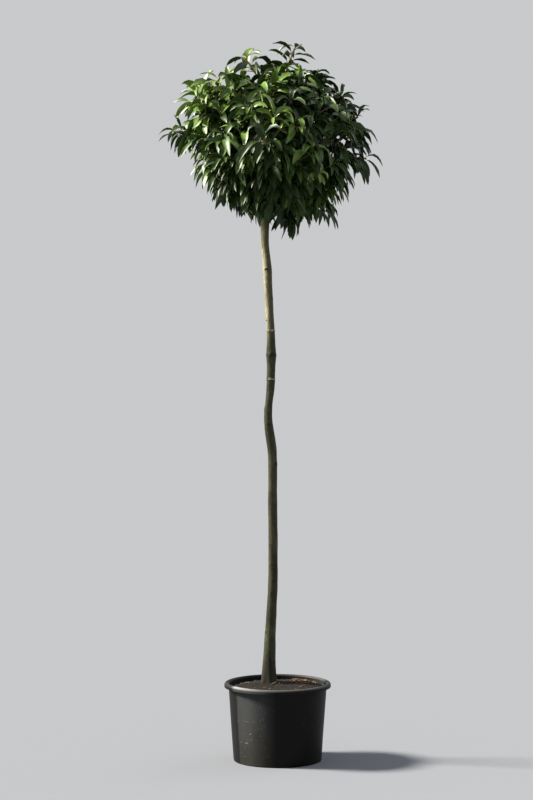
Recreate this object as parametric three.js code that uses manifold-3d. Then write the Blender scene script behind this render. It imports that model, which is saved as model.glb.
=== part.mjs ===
// A potted standard laurel: a ball of evergreen leaves on one clear stem, grown in a round nursery pot.
// Millimetres, +Z up. The origin is the centre of the pot's flat underside, and -Y is its front.

import * as THREE from "three";
import { mergeVertices } from "three/addons/utils/BufferGeometryUtils.js";
import Module from "manifold-3d";

const wasm = await Module();
wasm.setup();

// Solids that touch on the real plant lie this far apart
const SEAT_GAP = 0.3;

// Corners nearer than this are one corner
const WELD = 1e-3;

// Pot
const POT_HEIGHT = 265;
const RIM_RADIUS = 180;
const RIM_DROP = 15;
const WALL_TOP_RADIUS = 166;
const WALL_FOOT_RADIUS = 149;
const WALL_THICKNESS = 2.5;
const FLOOR_THICKNESS = 3;
const ROUND_SEGMENTS = 32;
const DRAIN_COUNT = 8;
const DRAIN_RADIUS = 7;
const DRAIN_RING_RADIUS = 118;

// Soil: level round the trunk's foot, and a little lower at the wall
const SOIL_TOP = 257;
const SOIL_EDGE_DROP = 11;
const SOIL_LEVEL_RADIUS = 86;
const SOIL_RINGS = 4;
const SOIL_LUMP = 2.5;

// Trunk: its sway to the side and towards the back at a few heights
const TRUNK_FOOT = SOIL_TOP + SEAT_GAP;
const TRUNK_TOP = 1945;
const TRUNK_SWAY = [
  [TRUNK_FOOT, -31, 38],
  [420, -25, 37],
  [600, -16, 32],
  [900, -17, 18],
  [1040, -18, 11],
  [1160, -32, 6],
  [1265, -24, 4],
  [1400, -22, 2],
  [1560, -30, -4],
  [1680, -36, -5],
  [1760, -43, -3],
  [TRUNK_TOP, -36, 0],
];
const TRUNK_LOW_RADIUS = 16.4;
const TRUNK_HIGH_RADIUS = 12.8;
const FLARE_RADIUS = 11;
const FLARE_HEIGHT = 112;
const ROOT_RIDGES = 5;
const ROOT_RIDGE_SHARE = 0.1;
const ROOT_RIDGE_HEIGHT = 45;
const TRUNK_SIDES = 10;
const TRUNK_RINGS = 32;

// Old pruning scars swell or pinch the trunk: height, change of radius, spread
const TRUNK_KNOTS = [
  [1075, 1.3, 45],
  [1215, -2, 38],
  [1371, 2.4, 26],
  [1656, 1.8, 30],
  [1840, 2, 50],
];

// Crown: a ball, a little flatter than it is wide
const CROWN_CENTRE = new THREE.Vector3(-10, 0, 2066);
const CROWN_TOP = 2424;
const CROWN_FLATNESS = 0.9;
const LOBE_SHARPNESS = 5;
const SPACE_SHARE = 0.52;
const STEM_SHARE = 0.64;
const SPACE_MARGIN = 1;

// Three whorls of boughs. The height is where a bough leaves the trunk's axis, the share is how much of
// the way to its foliage is bare bough, lift is how steeply it sets off, and leaves is how many each of its
// twigs may bear.
const WHORLS = {
  leader: { height: TRUNK_TOP, stagger: 0, share: 0.66, radius: 9.5, lift: 1, leaves: 6 },
  upper: { height: 1882, stagger: 8, share: 0.66, radius: 8, lift: 0.5, leaves: 5 },
  lower: { height: 1836, stagger: 10, share: 0.44, radius: 7, lift: 0.25, leaves: 4 },
};
const BOUGH_TIP_SHARE = 0.68;
const BOUGH_SIDES = 6;
const BOUGH_RINGS = 4;
const STEM_TIP_SHARE = 0.45;

// Masses of foliage: the side of the ball that each fills, and how far its leaves reach from the centre
const MASSES = [
  { side: "top", whorl: "leader", azimuth: 60, elevation: 84, reach: 296 },
  { side: "upper_right", whorl: "upper", azimuth: 16, elevation: 35, reach: 330 },
  { side: "upper_back", whorl: "upper", azimuth: 106, elevation: 35, reach: 326 },
  { side: "upper_left", whorl: "upper", azimuth: 188, elevation: 34, reach: 366 },
  { side: "upper_front", whorl: "upper", azimuth: 282, elevation: 35, reach: 328 },
  { side: "lower_right", whorl: "lower", azimuth: -14, elevation: -14, reach: 346 },
  { side: "lower_back_right", whorl: "lower", azimuth: 56, elevation: -14, reach: 332 },
  { side: "lower_back_left", whorl: "lower", azimuth: 130, elevation: -14, reach: 322 },
  { side: "lower_left", whorl: "lower", azimuth: 200, elevation: -14, reach: 292 },
  { side: "lower_front", whorl: "lower", azimuth: 273, elevation: -14, reach: 326 },
];

// Long shoots that stand out of the ball, and how far their wood reaches from its centre
const SHOOTS = [
  { side: "top", azimuth: 0, elevation: 79.5, reach: 378 },
  { side: "top", azimuth: 196, elevation: 72, reach: 348 },
  { side: "upper_left", azimuth: 184, elevation: 8.5, reach: 344 },
  { side: "upper_left", azimuth: 178, elevation: 38, reach: 326 },
  { side: "upper_left", azimuth: 196, elevation: 53, reach: 318 },
  { side: "upper_right", azimuth: 2, elevation: 22, reach: 296 },
  { side: "lower_right", azimuth: -5, elevation: -8, reach: 308 },
  { side: "upper_back", azimuth: 92, elevation: 26, reach: 306 },
  { side: "upper_back", azimuth: 124, elevation: 50, reach: 300 },
  { side: "lower_front", azimuth: 262, elevation: 2, reach: 302 },
];

// Twigs run from a mass's stem to places spread evenly over the ball
const TWIG_PLACES = 112;
const LOWEST_PLACE = -0.985;
const TWIG_REACH_SHARE = 0.73;
const TWIG_JITTER = 16;
const TWIG_RINGS = 1;
const SHOOT_RINGS = 3;
const TWIG_ROOT_RADIUS = 4.4;
const TWIG_TIP_RADIUS = 2.6;
const BRANCH_ANGLE = 45;
const GOLDEN_ANGLE = Math.PI * (3 - Math.sqrt(5));

// Leaves
const LEAF_LENGTH = 104;
const LEAF_WIDTH = 37;
const LEAF_THICKNESS = 3;
const LEAF_WIDEST = 0.42;
const LEAF_ARCH = 10;
const LEAF_FOLD = 4.5;
const LEAF_SINK = 0.8;
const LEAVES_PER_SHOOT = 7;
const FIRST_LEAF = 0.45;
const LEAF_TRIES = 16;
const LEAF_MOST_FACES = 22;
const SMALL_LEAF = 0.8;
const LEAF_DROOP = 0.42;
const LEAF_ANGLE_LOW = 64;
const LEAF_ANGLE_TIP = 26;

// A small dense core of twigs and shaded leaves in each mass
const CORE_RADIUS = 52;
const CORE_LUMP = 0.25;
const CORE_LEAST = 12;
const CORE_PLACE = 0.35;
const CORE_LEAF_TRIES = 11;
const CORE_FACE_STEP = 7;
const CORE_LEAF_SINK = 4;

const UP = new THREE.Vector3(0, 0, 1);
const radians = THREE.MathUtils.degToRad;
const blend = THREE.MathUtils.lerp;

// Repeatable random numbers from 0 to 1, so that the plant grows the same way each time
function seeded(seed) {
  let state = seed;
  return () => {
    state = (state + 0x6d2b79f5) | 0;
    let mixed = Math.imul(state ^ (state >>> 15), 1 | state);
    mixed = (mixed + Math.imul(mixed ^ (mixed >>> 7), 61 | mixed)) ^ mixed;
    return ((mixed ^ (mixed >>> 14)) >>> 0) / 4294967296;
  };
}

function towards(azimuth, elevation) {
  const a = radians(azimuth);
  const e = radians(elevation);
  return new THREE.Vector3(Math.cos(e) * Math.cos(a), Math.cos(e) * Math.sin(a), Math.sin(e));
}

// The crown is measured in a space where its flattened ball is round
function crownPoint(direction, distance) {
  const offset = direction.clone().multiplyScalar(distance);
  offset.z *= CROWN_FLATNESS;
  return offset.add(CROWN_CENTRE);
}

function crownOffset(point) {
  const offset = point.clone().sub(CROWN_CENTRE);
  offset.z /= CROWN_FLATNESS;
  return offset;
}

// Solids and geometry
function closedGeometry(geometry) {
  geometry.deleteAttribute("normal");
  geometry.deleteAttribute("uv");
  return mergeVertices(geometry, WELD);
}

function solid(geometry) {
  const closed = closedGeometry(geometry);
  const mesh = new wasm.Mesh({
    numProp: 3,
    vertProperties: new Float32Array(closed.attributes.position.array),
    triVerts: new Uint32Array(closed.index.array),
  });
  return new wasm.Manifold(mesh);
}

function geometryOf(manifold) {
  const mesh = manifold.getMesh();
  const geometry = new THREE.BufferGeometry();
  geometry.setAttribute("position", new THREE.BufferAttribute(mesh.vertProperties, 3));
  geometry.setIndex(new THREE.BufferAttribute(mesh.triVerts, 1));
  return geometry;
}

// The largest whole piece of a join, without loose scraps and with sealed hollows filled
function largestPiece(manifold) {
  const pieces = manifold.decompose();
  return pieces.reduce((best, piece) => (piece.volume() > best.volume() ? piece : best));
}

// A body is sound when it is one closed piece, with two faces at each edge once its corners are welded
function isSound(body) {
  const welded = closedGeometry(geometryOf(body));
  const corners = welded.index.array;
  const edges = new Set();
  for (let i = 0; i < corners.length; i++) {
    const next = i % 3 === 2 ? i - 2 : i + 1;
    const edge = corners[i] * corners.length + corners[next];
    if (corners[i] === corners[next] || edges.has(edge)) return false;
    edges.add(edge);
  }
  return solid(welded).decompose().length === 1;
}

// A closed round body from a profile of [radius, height] pairs that starts and ends on the axis
function turned(profile) {
  const points = profile.map(([radius, height]) => new THREE.Vector2(radius, height));
  return new THREE.LatheGeometry(points, ROUND_SEGMENTS).rotateX(Math.PI / 2);
}

// The world axis that lies most across a direction, as a steady reference for a limb's rings
function acrossAxis(direction) {
  const sizes = direction.toArray().map(Math.abs);
  const least = sizes.indexOf(Math.min(...sizes));
  return new THREE.Vector3().setComponent(least, 1);
}

function frameAt(curve, share, reference) {
  const centre = curve.getPointAt(share);
  const along = curve.getTangentAt(share);
  const side = reference.clone().addScaledVector(along, -reference.dot(along)).normalize();
  return { centre, along, side, other: side.clone().cross(along) };
}

// A closed limb: a cylinder's rings carried onto a stretch of a curve, from one share of its length to
// another. radiusAt takes the share of the stretch, the centre of the ring and the angle round it.
function limb(curve, from, to, sides, rings, radiusAt) {
  const geometry = closedGeometry(new THREE.CylinderGeometry(1, 1, 1, sides, rings));
  const reference = acrossAxis(curve.getPointAt(to).sub(curve.getPointAt(from)));
  const place = geometry.attributes.position;
  for (let i = 0; i < place.count; i++) {
    const share = place.getY(i) + 0.5;
    const x = place.getX(i);
    const z = place.getZ(i);
    const { centre, side, other } = frameAt(curve, blend(from, to, share), reference);
    const radius = radiusAt(share, centre, Math.atan2(z, x));
    centre.addScaledVector(side, x * radius).addScaledVector(other, z * radius);
    place.setXYZ(i, centre.x, centre.y, centre.z);
  }
  return geometry;
}

// Pot
function potProfile() {
  const skirtInner = RIM_RADIUS - WALL_THICKNESS;
  const skirtFoot = POT_HEIGHT - RIM_DROP;
  const innerTop = WALL_TOP_RADIUS - WALL_THICKNESS;
  const innerFoot = WALL_FOOT_RADIUS - WALL_THICKNESS;
  return [
    [0, 0],
    [WALL_FOOT_RADIUS - 2, 0],
    [WALL_FOOT_RADIUS, 3],
    [WALL_TOP_RADIUS, POT_HEIGHT - 9],
    [WALL_TOP_RADIUS + 3, POT_HEIGHT - 4],
    [skirtInner - 4, POT_HEIGHT - 4],
    [skirtInner, POT_HEIGHT - 8],
    [skirtInner, skirtFoot],
    [RIM_RADIUS, skirtFoot],
    [RIM_RADIUS, POT_HEIGHT - 6],
    [RIM_RADIUS - 3, POT_HEIGHT - 1.5],
    [RIM_RADIUS - 7, POT_HEIGHT],
    [innerTop + 4, POT_HEIGHT],
    [innerTop, POT_HEIGHT - 4],
    [innerFoot, FLOOR_THICKNESS],
    [0, FLOOR_THICKNESS],
  ];
}

function drain(index) {
  const angle = ((index + 0.5) / DRAIN_COUNT) * 2 * Math.PI;
  const hole = new THREE.CylinderGeometry(DRAIN_RADIUS, DRAIN_RADIUS, 4 * FLOOR_THICKNESS, 8);
  hole.rotateX(Math.PI / 2);
  hole.translate(DRAIN_RING_RADIUS * Math.cos(angle), DRAIN_RING_RADIUS * Math.sin(angle), 0);
  return solid(hole);
}

function pot() {
  let body = solid(turned(potProfile()));
  for (let i = 0; i < DRAIN_COUNT; i++) body = body.subtract(drain(i));
  return geometryOf(body);
}

// Soil
function innerWallRadius(height) {
  const share = (height - FLOOR_THICKNESS) / (POT_HEIGHT - 4 - FLOOR_THICKNESS);
  return blend(WALL_FOOT_RADIUS, WALL_TOP_RADIUS, share) - WALL_THICKNESS - SEAT_GAP;
}

function soil() {
  const foot = FLOOR_THICKNESS + SEAT_GAP;
  const edge = SOIL_TOP - SOIL_EDGE_DROP;
  const profile = [[0, foot], [innerWallRadius(foot), foot], [innerWallRadius(edge), edge]];
  for (let ring = SOIL_RINGS - 1; ring >= 0; ring--) {
    const share = ring / SOIL_RINGS;
    profile.push([
      blend(SOIL_LEVEL_RADIUS, innerWallRadius(edge), share),
      SOIL_TOP - SOIL_EDGE_DROP * share ** 2,
    ]);
  }
  profile.push([0, SOIL_TOP]);
  const geometry = closedGeometry(turned(profile));
  const random = seeded(11);
  const place = geometry.attributes.position;
  for (let i = 0; i < place.count; i++) {
    const radius = Math.hypot(place.getX(i), place.getY(i));
    const onSlope = place.getZ(i) > edge + 0.1 && radius > SOIL_LEVEL_RADIUS + 1;
    if (onSlope) place.setZ(i, place.getZ(i) - random() * SOIL_LUMP);
  }
  return geometryOf(solid(geometry));
}

// Trunk
function trunkCurve() {
  const points = TRUNK_SWAY.map(([height, aside, back]) => new THREE.Vector3(aside, back, height));
  return new THREE.CatmullRomCurve3(points, false, "centripetal");
}

function trunkRadius(height, angle) {
  const above = height - TRUNK_FOOT;
  const share = above / (TRUNK_TOP - TRUNK_FOOT);
  let radius = blend(TRUNK_LOW_RADIUS, TRUNK_HIGH_RADIUS, share);
  radius += FLARE_RADIUS * Math.exp(-above / FLARE_HEIGHT);
  for (const [centre, change, spread] of TRUNK_KNOTS) {
    radius += change * Math.exp(-(((height - centre) / spread) ** 2));
  }
  const ridge = ROOT_RIDGE_SHARE * Math.exp(-above / ROOT_RIDGE_HEIGHT);
  return radius * (1 + ridge * Math.cos(ROOT_RIDGES * angle));
}

const TRUNK_CURVE = trunkCurve();

// The ends are flattened to level cuts, at the soil and under the leader
function trunk(spare) {
  const geometry = limb(TRUNK_CURVE, 0, 1, TRUNK_SIDES, TRUNK_RINGS, (share, centre, angle) => {
    return trunkRadius(centre.z, angle) + spare;
  });
  const place = geometry.attributes.position;
  const levels = [TRUNK_FOOT, TRUNK_TOP];
  for (let i = 0; i < place.count; i++) {
    for (const level of levels) {
      if (Math.abs(place.getZ(i) - level) < 8) place.setZ(i, level);
    }
  }
  return geometry;
}

function trunkAxisAt(height) {
  let low = 0;
  let high = 1;
  for (let step = 0; step < 30; step++) {
    const middle = (low + high) / 2;
    if (TRUNK_CURVE.getPointAt(middle).z < height) low = middle;
    else high = middle;
  }
  return TRUNK_CURVE.getPointAt(low);
}

// Boughs and the stems that carry on from them
function limbOf(mass, index) {
  const whorl = WHORLS[mass.whorl];
  const direction = towards(mass.azimuth, mass.elevation);
  const height = whorl.height + (index % 2 ? whorl.stagger : -whorl.stagger);
  const leader = mass.whorl === "leader";
  const root = trunkAxisAt(height);
  if (leader) root.z = TRUNK_TOP + SEAT_GAP;
  const end = crownPoint(direction, mass.reach * STEM_SHARE);
  const way = end.clone().sub(root);
  const outward = way.clone().setZ(0).normalize();
  const setOff = outward.multiplyScalar(1 - whorl.lift).addScaledVector(UP, whorl.lift).normalize();
  const bend = root.clone().addScaledVector(setOff, way.length() * 0.4);
  const curve = new THREE.QuadraticBezierCurve3(root, bend, end);
  const length = curve.getLength();
  return {
    ...mass,
    direction,
    leader,
    curve,
    centre: crownPoint(direction, mass.reach * SPACE_SHARE),
    boughEnd: whorl.share,
    stemStart: whorl.share + SEAT_GAP / length,
    leavesPerTwig: whorl.leaves,
    rootRadius: whorl.radius,
    tipRadius: whorl.radius * BOUGH_TIP_SHARE,
    twigs: [],
  };
}

const LIMBS = MASSES.map(limbOf);
const THICK_TRUNK = solid(trunk(SEAT_GAP));
const THICK_LIMBS = wasm.Manifold.union([THICK_TRUNK, ...LIMBS.map((mass) => boughSolid(mass, 3))]);

function boughSolid(mass, spare) {
  return solid(
    limb(mass.curve, 0, mass.boughEnd, BOUGH_SIDES, BOUGH_RINGS, (share) => {
      return blend(mass.rootRadius, mass.tipRadius, share) + spare;
    }),
  );
}

function bough(mass) {
  const body = boughSolid(mass, 0);
  return geometryOf(mass.leader ? levelled(body) : largestPiece(body.subtract(THICK_TRUNK)));
}

// The leader sits on the trunk's level top, so its foot is cut level too
function levelled(body) {
  const cutter = new THREE.BoxGeometry(80, 80, 40);
  cutter.translate(TRUNK_SWAY.at(-1)[1], 0, TRUNK_TOP + SEAT_GAP - 20);
  return largestPiece(body.subtract(solid(cutter)));
}

// The space of a mass: nearer its own centre than any other, and within the crown's outline
function reachTowards(direction) {
  let total = 0;
  let weight = 0;
  for (const mass of LIMBS) {
    const pull = Math.exp(LOBE_SHARPNESS * direction.dot(mass.direction));
    total += pull * mass.reach;
    weight += pull;
  }
  return total / weight;
}

function spareInSpace(mass, point) {
  let spare = Infinity;
  for (const other of LIMBS) {
    if (other === mass) continue;
    const between = other.centre.clone().sub(mass.centre);
    const half = between.length() / 2;
    const across = point.clone().sub(mass.centre).dot(between.normalize());
    spare = Math.min(spare, half - across);
  }
  return spare - SPACE_MARGIN;
}

function insideOutline(point) {
  const offset = crownOffset(point);
  const distance = offset.length();
  return distance <= reachTowards(offset.normalize());
}

// Limbs as chains of short stretches, for the clearance of twigs and leaves
function chain(curve, from, to, steps, radiusAt) {
  const links = [];
  for (let i = 0; i < steps; i++) {
    const start = curve.getPointAt(blend(from, to, i / steps));
    const end = curve.getPointAt(blend(from, to, (i + 1) / steps));
    links.push({ line: new THREE.Line3(start, end), radius: radiusAt(i / steps, start) });
  }
  return links;
}

const LIMB_CHAIN = [
  ...chain(TRUNK_CURVE, 0.8, 1, 12, (share, start) => trunkRadius(start.z, 0)),
  ...LIMBS.flatMap((mass) => chain(mass.curve, 0, mass.boughEnd, 6, () => mass.rootRadius)),
];

function clearOfLimbs(point, halfWidth) {
  const nearest = new THREE.Vector3();
  return LIMB_CHAIN.every(({ line, radius }) => {
    line.closestPointToPoint(point, true, nearest);
    return nearest.distanceTo(point) > radius + halfWidth + SPACE_MARGIN;
  });
}

// Twigs
// One of a number of directions spread evenly all round
function evenDirection(index, count) {
  const z = 1 - (2 * (index + 0.5)) / count;
  const ring = Math.sqrt(1 - z * z);
  const turn = index * GOLDEN_ANGLE;
  return new THREE.Vector3(ring * Math.cos(turn), ring * Math.sin(turn), z);
}

// The places where a twig may leave the stem, the one nearest to the branch angle first
function forksOnStem(mass, tip) {
  const forks = [];
  for (let step = 2; step <= 10; step++) {
    const share = blend(mass.stemStart, 1, step / 10);
    const way = tip.clone().sub(mass.curve.getPointAt(share));
    const angle = way.angleTo(mass.curve.getTangentAt(share));
    forks.push({ share, miss: Math.abs(angle - radians(BRANCH_ANGLE)) });
  }
  return forks.sort((one, other) => one.miss - other.miss).map((fork) => fork.share);
}

function twigFrom(mass, share, tip, shoot) {
  const root = mass.curve.getPointAt(share);
  const way = tip.clone().sub(root);
  const bend = root.clone().addScaledVector(mass.curve.getTangentAt(share), way.length() * 0.3);
  bend.lerp(root.clone().lerp(tip, 0.5), 0.4);
  return {
    curve: new THREE.QuadraticBezierCurve3(root, bend, tip),
    reference: acrossAxis(way),
    rings: shoot ? SHOOT_RINGS : TWIG_RINGS,
    shoot,
  };
}

function twigFits(mass, twig) {
  for (let step = 1; step <= 10; step++) {
    const point = twig.curve.getPointAt(step / 10);
    if (spareInSpace(mass, point) < TWIG_ROOT_RADIUS || !clearOfLimbs(point, TWIG_ROOT_RADIUS)) return false;
  }
  return true;
}

function growTwig(mass, tip, shoot) {
  const twigs = forksOnStem(mass, tip).map((share) => twigFrom(mass, share, tip, shoot));
  const twig = twigs.find((each) => twigFits(mass, each));
  if (twig) mass.twigs.push(twig);
}

function growTwigs() {
  const random = seeded(7);
  for (const shoot of SHOOTS) {
    const mass = LIMBS.find((each) => each.side === shoot.side);
    growTwig(mass, crownPoint(towards(shoot.azimuth, shoot.elevation), shoot.reach), true);
  }
  for (let index = 0; index < TWIG_PLACES; index++) {
    const direction = evenDirection(index, TWIG_PLACES);
    const tip = crownPoint(direction, reachTowards(direction) * TWIG_REACH_SHARE);
    for (const axis of ["x", "y", "z"]) tip[axis] += (random() - 0.5) * TWIG_JITTER;
    if (direction.z < LOWEST_PLACE) continue;
    const mass = LIMBS.find((each) => spareInSpace(each, tip) > TWIG_ROOT_RADIUS);
    if (mass) growTwig(mass, tip, false);
  }
}

function twigSolid({ curve, rings }) {
  return solid(limb(curve, 0, 1, 3, rings, (share) => blend(TWIG_ROOT_RADIUS, TWIG_TIP_RADIUS, share)));
}

// The middle of a twig's wood, which runs straight from ring to ring
function twigMiddle({ curve, rings }, share) {
  const ring = Math.min(Math.floor(share * rings), rings - 1);
  const start = curve.getPointAt(ring / rings);
  const end = curve.getPointAt((ring + 1) / rings);
  return start.lerp(end, share * rings - ring);
}

// Leaves: an octahedron drawn out to root, tip, two edges and the two faces of the midrib
const LEAF_FORM = closedGeometry(new THREE.OctahedronGeometry(1));

function leafPoints({ root, along, side, face, length }) {
  const size = length / LEAF_LENGTH;
  const form = LEAF_FORM.attributes.position;
  const points = [];
  for (let i = 0; i < form.count; i++) {
    const [x, y, z] = [form.getX(i), form.getY(i), form.getZ(i)].map(Math.round);
    const reach = x === 0 ? LEAF_WIDEST : (x + 1) / 2;
    const lift = (x === 0 ? LEAF_ARCH : 0) + Math.abs(y) * LEAF_FOLD + (z * LEAF_THICKNESS) / 2;
    const point = root.clone().addScaledVector(along, reach * length);
    point.addScaledVector(side, (y * LEAF_WIDTH * size) / 2).addScaledVector(face, lift * size);
    points.push(point);
  }
  return points;
}

function leafSolid(points) {
  const geometry = LEAF_FORM.clone();
  points.forEach((point, i) => geometry.attributes.position.setXYZ(i, point.x, point.y, point.z));
  return solid(geometry);
}

// A leaf that sets off along a direction droops from it, and its face looks up and out
function leafFrom(centre, direction, shrink, random) {
  const along = direction.clone().addScaledVector(UP, -LEAF_DROOP).normalize();
  const outward = crownOffset(centre).normalize();
  const look = outward.add(UP).normalize().applyAxisAngle(along, (random() - 0.5) * 0.9);
  const side = look.cross(along).normalize();
  return {
    root: centre.clone().addScaledVector(along, -LEAF_SINK),
    along,
    side,
    face: along.clone().cross(side),
    length: LEAF_LENGTH * blend(0.88, 1.12, random()) * shrink,
  };
}

// Leaves spiral round a twig, and their angle to it closes towards its tip
function leafSetOff(twig, share, turn) {
  const { along, side, other } = frameAt(twig.curve, share, twig.reference);
  const open = radians(blend(LEAF_ANGLE_LOW, LEAF_ANGLE_TIP, (share - FIRST_LEAF) / (1 - FIRST_LEAF)));
  const direction = along.multiplyScalar(Math.cos(open));
  direction.addScaledVector(side, Math.sin(open) * Math.cos(turn));
  direction.addScaledVector(other, Math.sin(open) * Math.sin(turn));
  return { centre: twigMiddle(twig, share), direction };
}

function leafFits(mass, leaf, points, shoot) {
  const inSpace = points.every((point) => spareInSpace(mass, point) > 0 && point.z < CROWN_TOP);
  if (!inSpace || !(shoot || points.every(insideOutline))) return false;
  return [0.15, 0.4, 0.7, 1].every((share) => {
    const middle = leaf.root.clone().addScaledVector(leaf.along, share * leaf.length);
    return clearOfLimbs(middle, share < 1 ? LEAF_WIDTH / 2 : 0);
  });
}

// Leaves of one mass lie free of each other
function leafIsFree(leaves, body, box) {
  return leaves.every((leaf) => !leaf.box.intersectsBox(box) || leaf.body.intersect(body).isEmpty());
}

function stem(mass) {
  const stemTip = mass.rootRadius * STEM_TIP_SHARE;
  return solid(
    limb(mass.curve, mass.stemStart, 1, 5, 3, (share) => blend(mass.tipRadius, stemTip, share)),
  );
}

// A mass in growth. Each twig and leaf is fused on by itself, and one that can't be joined soundly,
// or with few faces, is left out.
class Growth {
  constructor(mass, seed) {
    this.mass = mass;
    this.random = seeded(seed);
    this.core = core(mass, this.random);
    this.body = stem(mass).add(this.core.body);
    this.leaves = [];
  }

  fuse(piece, mostFaces) {
    const joined = this.body.add(piece);
    if (joined.numTri() - this.body.numTri() > mostFaces || !isSound(joined)) return false;
    this.body = joined;
    return true;
  }

  fuseLeaf(leaf, shoot) {
    const points = leafPoints(leaf);
    if (!leafFits(this.mass, leaf, points, shoot)) return false;
    const body = leafSolid(points);
    const box = new THREE.Box3().setFromPoints(points);
    if (!leafIsFree(this.leaves, body, box) || !this.fuse(body, LEAF_MOST_FACES)) return false;
    this.leaves.push({ body, box });
    return true;
  }

  // A leaf that finds no room is tried again: further round, more outward, and at last smaller.
  // setOff gives the start and direction of a try.
  growLeaf(setOff, shoot) {
    for (let attempt = 0; attempt < LEAF_TRIES; attempt++) {
      const { centre, direction } = setOff(attempt);
      const outward = crownOffset(centre).normalize();
      direction.lerp(outward, attempt / LEAF_TRIES).normalize();
      const shrink = attempt < LEAF_TRIES / 2 ? 1 : SMALL_LEAF;
      if (this.fuseLeaf(leafFrom(centre, direction, shrink, this.random), shoot)) return;
    }
  }

  growOnTwig(twig) {
    const start = this.random() * 2 * Math.PI;
    const count = twig.shoot ? LEAVES_PER_SHOOT : this.mass.leavesPerTwig;
    for (let place = 0; place < count; place++) {
      const share = blend(FIRST_LEAF, 0.98, place / (count - 1));
      this.growLeaf(
        (attempt) => leafSetOff(twig, share, start + (place + attempt) * GOLDEN_ANGLE),
        twig.shoot,
      );
    }
  }

  // Leaves on the core set off from the middles of its faces, taken in turn all round it
  growOnCore() {
    const { middle, faces } = this.core;
    for (let number = 0; number < CORE_LEAF_TRIES; number++) {
      const face = faces[(number * CORE_FACE_STEP) % faces.length];
      const direction = face.clone().sub(middle).normalize();
      const centre = face.clone().addScaledVector(direction, -CORE_LEAF_SINK);
      this.fuseLeaf(leafFrom(centre, direction, 1, this.random), false);
    }
  }
}

function foliage(mass, index) {
  const growth = new Growth(mass, 101 + index);
  const twigs = mass.twigs.filter((twig) => growth.fuse(twigSolid(twig), Infinity));
  for (const twig of twigs) growth.growOnTwig(twig);
  growth.growOnCore();
  return geometryOf(growth.body);
}

// The core stays inside its mass's space and clear of the limbs
function coreReach(mass, middle, ray) {
  let reach = CORE_RADIUS;
  const end = () => middle.clone().addScaledVector(ray, reach);
  while (reach > CORE_LEAST && (spareInSpace(mass, end()) < 3 || !clearOfLimbs(end(), 6))) reach *= 0.92;
  return reach;
}

function core(mass, random) {
  const geometry = closedGeometry(new THREE.IcosahedronGeometry(1, 1));
  const middle = mass.curve.getPointAt(blend(mass.stemStart, 1, CORE_PLACE));
  const place = geometry.attributes.position;
  const corners = [];
  for (let i = 0; i < place.count; i++) {
    const ray = new THREE.Vector3().fromBufferAttribute(place, i).normalize();
    const radius = coreReach(mass, middle, ray) * (1 - CORE_LUMP * random());
    corners.push(middle.clone().addScaledVector(ray, radius));
    place.setXYZ(i, ...corners[i].toArray());
  }
  const faces = [];
  for (let i = 0; i < geometry.index.count; i += 3) {
    const [one, two, three] = [0, 1, 2].map((corner) => corners[geometry.index.getX(i + corner)]);
    faces.push(new THREE.Triangle(one, two, three).getMidpoint(new THREE.Vector3()));
  }
  return { body: largestPiece(solid(geometry).subtract(THICK_LIMBS)), middle, faces };
}

// Finishes
const FINISHES = {
  pot: { color: 0x1c1d1c, roughness: 0.62 },
  soil: { color: 0x2b2119, roughness: 0.95 },
  bark: { color: 0x4d483a, roughness: 0.85 },
  leaf: { color: 0x23391a, roughness: 0.4 },
};

function named(name, geometry, finish) {
  geometry.computeVertexNormals();
  const material = new THREE.MeshStandardMaterial({ ...FINISHES[finish], metalness: 0 });
  const mesh = new THREE.Mesh(geometry, material);
  mesh.name = name;
  return mesh;
}

growTwigs();

const plant = new THREE.Group();
plant.add(named("pot", pot(), "pot"));
plant.add(named("soil", soil(), "soil"));
plant.add(named("trunk", geometryOf(solid(trunk(0))), "bark"));
for (const mass of LIMBS) plant.add(named(`bough_${mass.side}`, bough(mass), "bark"));
LIMBS.forEach((mass, index) => plant.add(named(`foliage_${mass.side}`, foliage(mass, index), "leaf")));

export default plant;
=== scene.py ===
import math

import bpy
import numpy as np
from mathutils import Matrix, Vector, noise


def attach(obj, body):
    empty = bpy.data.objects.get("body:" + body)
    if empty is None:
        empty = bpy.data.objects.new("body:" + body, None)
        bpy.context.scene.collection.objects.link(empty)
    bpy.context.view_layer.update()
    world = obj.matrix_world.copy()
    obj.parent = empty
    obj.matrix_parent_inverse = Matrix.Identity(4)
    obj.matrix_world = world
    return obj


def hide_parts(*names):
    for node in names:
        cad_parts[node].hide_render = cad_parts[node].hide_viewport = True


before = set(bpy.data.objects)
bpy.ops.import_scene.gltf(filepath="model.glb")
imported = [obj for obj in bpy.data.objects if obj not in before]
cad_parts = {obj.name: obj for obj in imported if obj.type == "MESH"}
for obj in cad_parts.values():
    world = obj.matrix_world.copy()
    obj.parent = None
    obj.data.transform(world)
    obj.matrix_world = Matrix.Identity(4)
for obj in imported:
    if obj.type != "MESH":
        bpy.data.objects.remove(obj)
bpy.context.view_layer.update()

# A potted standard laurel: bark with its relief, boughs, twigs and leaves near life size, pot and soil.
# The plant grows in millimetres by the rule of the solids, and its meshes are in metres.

MILLIMETRE = 0.001
FULL_TURN = 2 * math.pi
GOLDEN_ANGLE = math.pi * (3 - math.sqrt(5))
UP = np.array([0.0, 0.0, 1.0])

# Camera: where it stands and how far it sees in metres, how far it looks down in degrees, lens and sensor
CAMERA_PLACE = (-0.0375, -9.109, 1.75)
FARTHEST_SIGHT = 200
CAMERA_PITCH = 3.33
FOCAL_PIXELS = 2716
IMAGE_HEIGHT = 800
SENSOR = 36

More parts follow.
